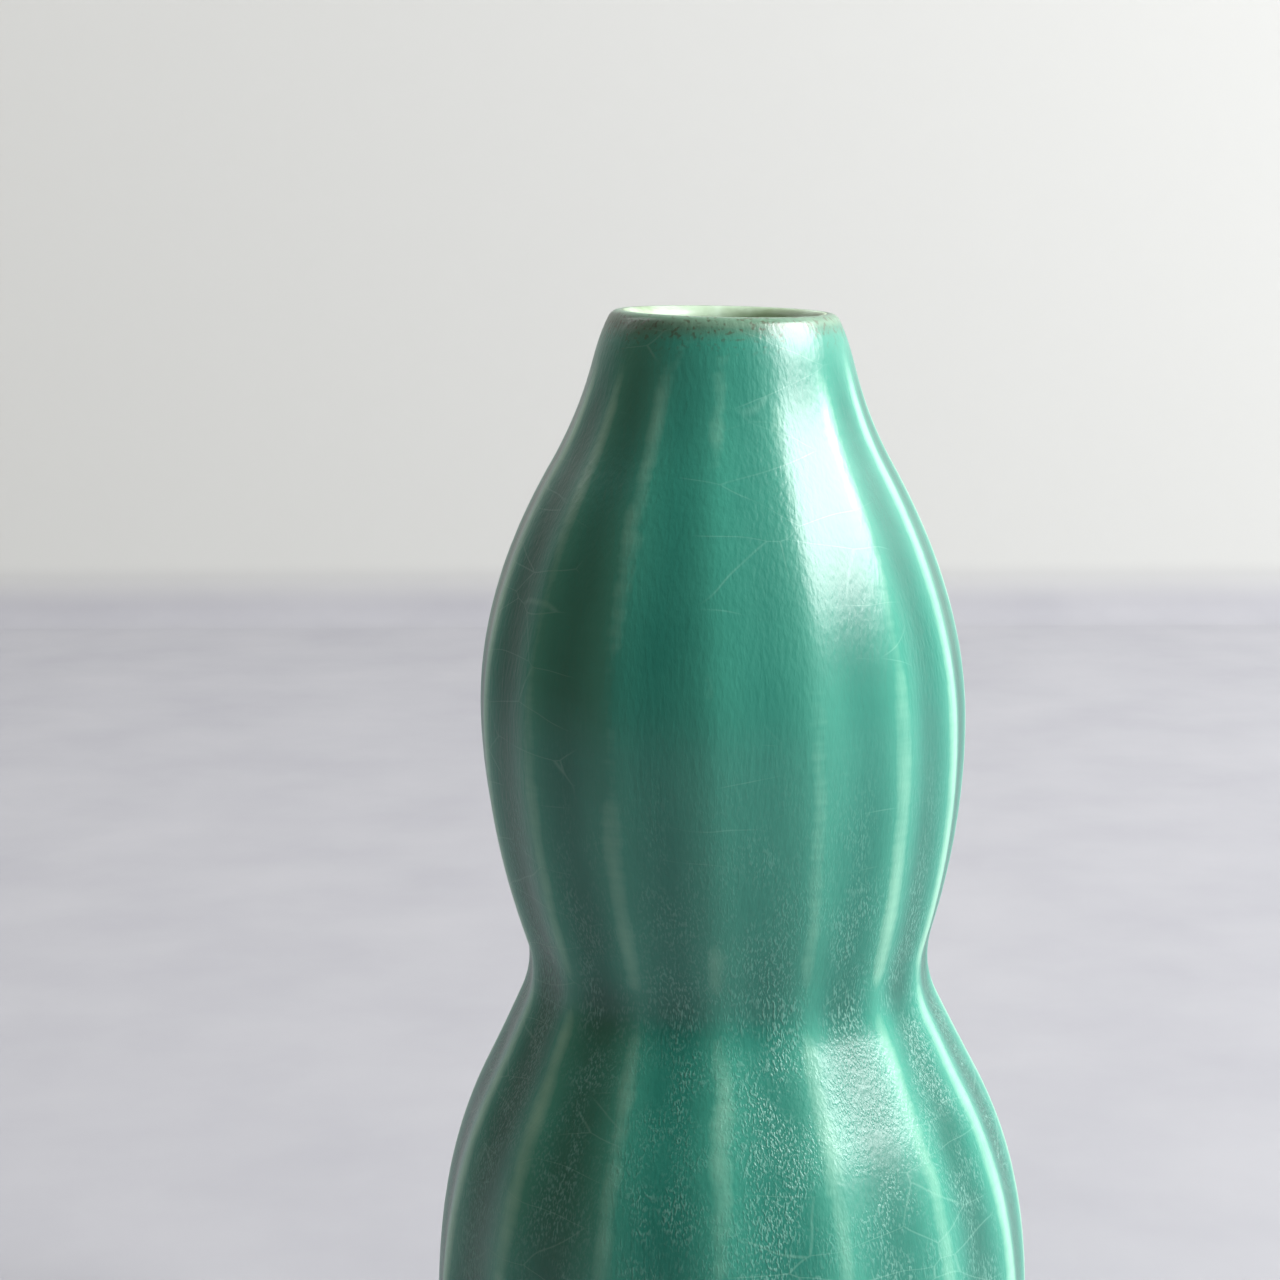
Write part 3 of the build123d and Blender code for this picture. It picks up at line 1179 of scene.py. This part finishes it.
@dataclass(frozen=True)
class Studio:
    """A sheet of board that runs back as the floor and turns up as the wall, and the light.

    Sizes are in metres.
    """

    board: PaintedBoard
    half_width: float = 2.6
    front: float = -1.6
    bend_start: float = 0.76
    bend_radius: float = 0.02
    wall_top: float = 2.2
    bend_steps: int = 24
    columns: int = 12
    sky: str = "#E6E4DE"
    sky_strength: float = 0.01
    seen_strength: float = 0.55
    lights: tuple[Softbox, ...] = (
        Softbox("window", turn=79, rise=36, distance=2.0, width=1.5, height=1.0, power=98.0),
        Softbox("room", turn=50, rise=20, distance=2.2, width=1.6, height=1.6, power=6.0),
        Softbox(
            "warm_room", turn=-80, rise=10, distance=0.9, width=0.9, height=0.9, power=1.0,
            colour="#C79A50",
        ),
        Softbox(
            "wall_wash", turn=-40, rise=60, distance=0.6, width=1.2, height=0.3, power=4.0,
            target=(-0.8, 0.8, 0.4),
        ),
    )

    def backdrop(self) -> bpy.types.Object:
        """Bend the board: level, round through a quarter turn, then upright.

        Returns:
            The board.
        """
        profile = [(y, 0.0) for y in np.linspace(self.front, self.bend_start, self.columns)]
        for turn in np.linspace(0.0, pi / 2, self.bend_steps)[1:]:
            across = self.bend_start + self.bend_radius * sin(turn)
            profile.append((across, self.bend_radius * (1 - cos(turn))))
        profile.append((profile[-1][0], self.wall_top))
        across = np.linspace(-self.half_width, self.half_width, self.columns)
        vertices = [(x, y, z) for y, z in profile for x in across]
        faces = []
        for line in range(len(profile) - 1):
            for column in range(self.columns - 1):
                corner = line * self.columns + column
                above = corner + self.columns
                faces.append((corner, corner + 1, above + 1, above))
        mesh = bpy.data.meshes.new("studio_board")
        mesh.from_pydata(vertices, [], faces)
        mesh.shade_smooth()
        mesh.materials.append(self.board.material())
        board = bpy.data.objects.new("studio_board", mesh)
        bpy.context.scene.collection.objects.link(board)
        return board

    def build(self) -> None:
        """Set the board, hang the lights and fill the room with even light."""
        self.backdrop()
        for light in self.lights:
            light.place()
        world = bpy.data.worlds.new("studio_air")
        world.use_nodes = True
        air = world.node_tree.nodes["Background"]
        air.inputs["Color"].default_value = linear(self.sky)
        # Far walls look pale past the edge of the board, and yet cast next to no light on it.
        seen = add_node(world.node_tree, "ShaderNodeLightPath").outputs["Is Camera Ray"]
        more = self.seen_strength - self.sky_strength
        lit = {0: seen, 1: more, 2: self.sky_strength}
        strength = add_node(world.node_tree, "ShaderNodeMath", {"operation": "MULTIPLY_ADD"}, lit)
        world.node_tree.links.new(strength.outputs[0], air.inputs["Strength"])
        bpy.context.scene.world = world
        bpy.context.scene.view_settings.view_transform = "Standard"


@dataclass(frozen=True)
class Viewpoint:
    """The camera: just above the rim, close to the vase, and looking a little down.

    Lengths are in millimetres, angles in degrees.
    """

    lens: float = 75.0
    sensor: float = 36.0
    aside: float = -10.95
    back: float = 333.6
    above_rim: float = 18.8
    pitch: float = 10.25
    roll: float = -0.19
    nearest: float = 10.0

    def place(self, form: GourdForm) -> bpy.types.Object:
        """Set the camera in front of the vase.

        Args:
            form: the vase's form, for the height of its rim.

        Returns:
            The camera's object.
        """
        lens = bpy.data.cameras.new("viewpoint")
        lens.lens, lens.sensor_width = self.lens, self.sensor
        lens.clip_start = self.nearest * MM
        camera = bpy.data.objects.new("viewpoint", lens)
        bpy.context.scene.collection.objects.link(camera)
        spot = Vector((self.aside, -self.back, form.rim_height + self.above_rim)) * MM
        look = Matrix.Rotation(radians(90 - self.pitch), 4, "X")
        tilt = Matrix.Rotation(radians(self.roll), 4, "Z")
        camera.matrix_world = Matrix.Translation(spot) @ look @ tilt
        bpy.context.scene.camera = camera
        return camera


def main() -> None:
    """Build the vase from the clay outwards, then the studio round it."""
    form = GourdForm()
    glaze = SatinTealGlaze(rim_height=form.rim_height, waist_height=form.waist_height)
    outer = OuterGlaze(form, glaze)
    hollow = Hollow(form)
    body = ClayBody(form, outer, hollow, FiredStoneware())
    liner = LinerCoat(form, hollow, LinerGlaze())
    foot = FootGlaze(form, body, glaze)
    for part in (body, outer, liner, foot):
        piece = part.build()
        LOG.info("%s: %d faces", piece.name, len(piece.data.polygons))
    Studio(PaintedBoard()).build()
    Viewpoint().place(form)


if __name__ == "__main__":
    logging.basicConfig(level=logging.INFO)
    main()
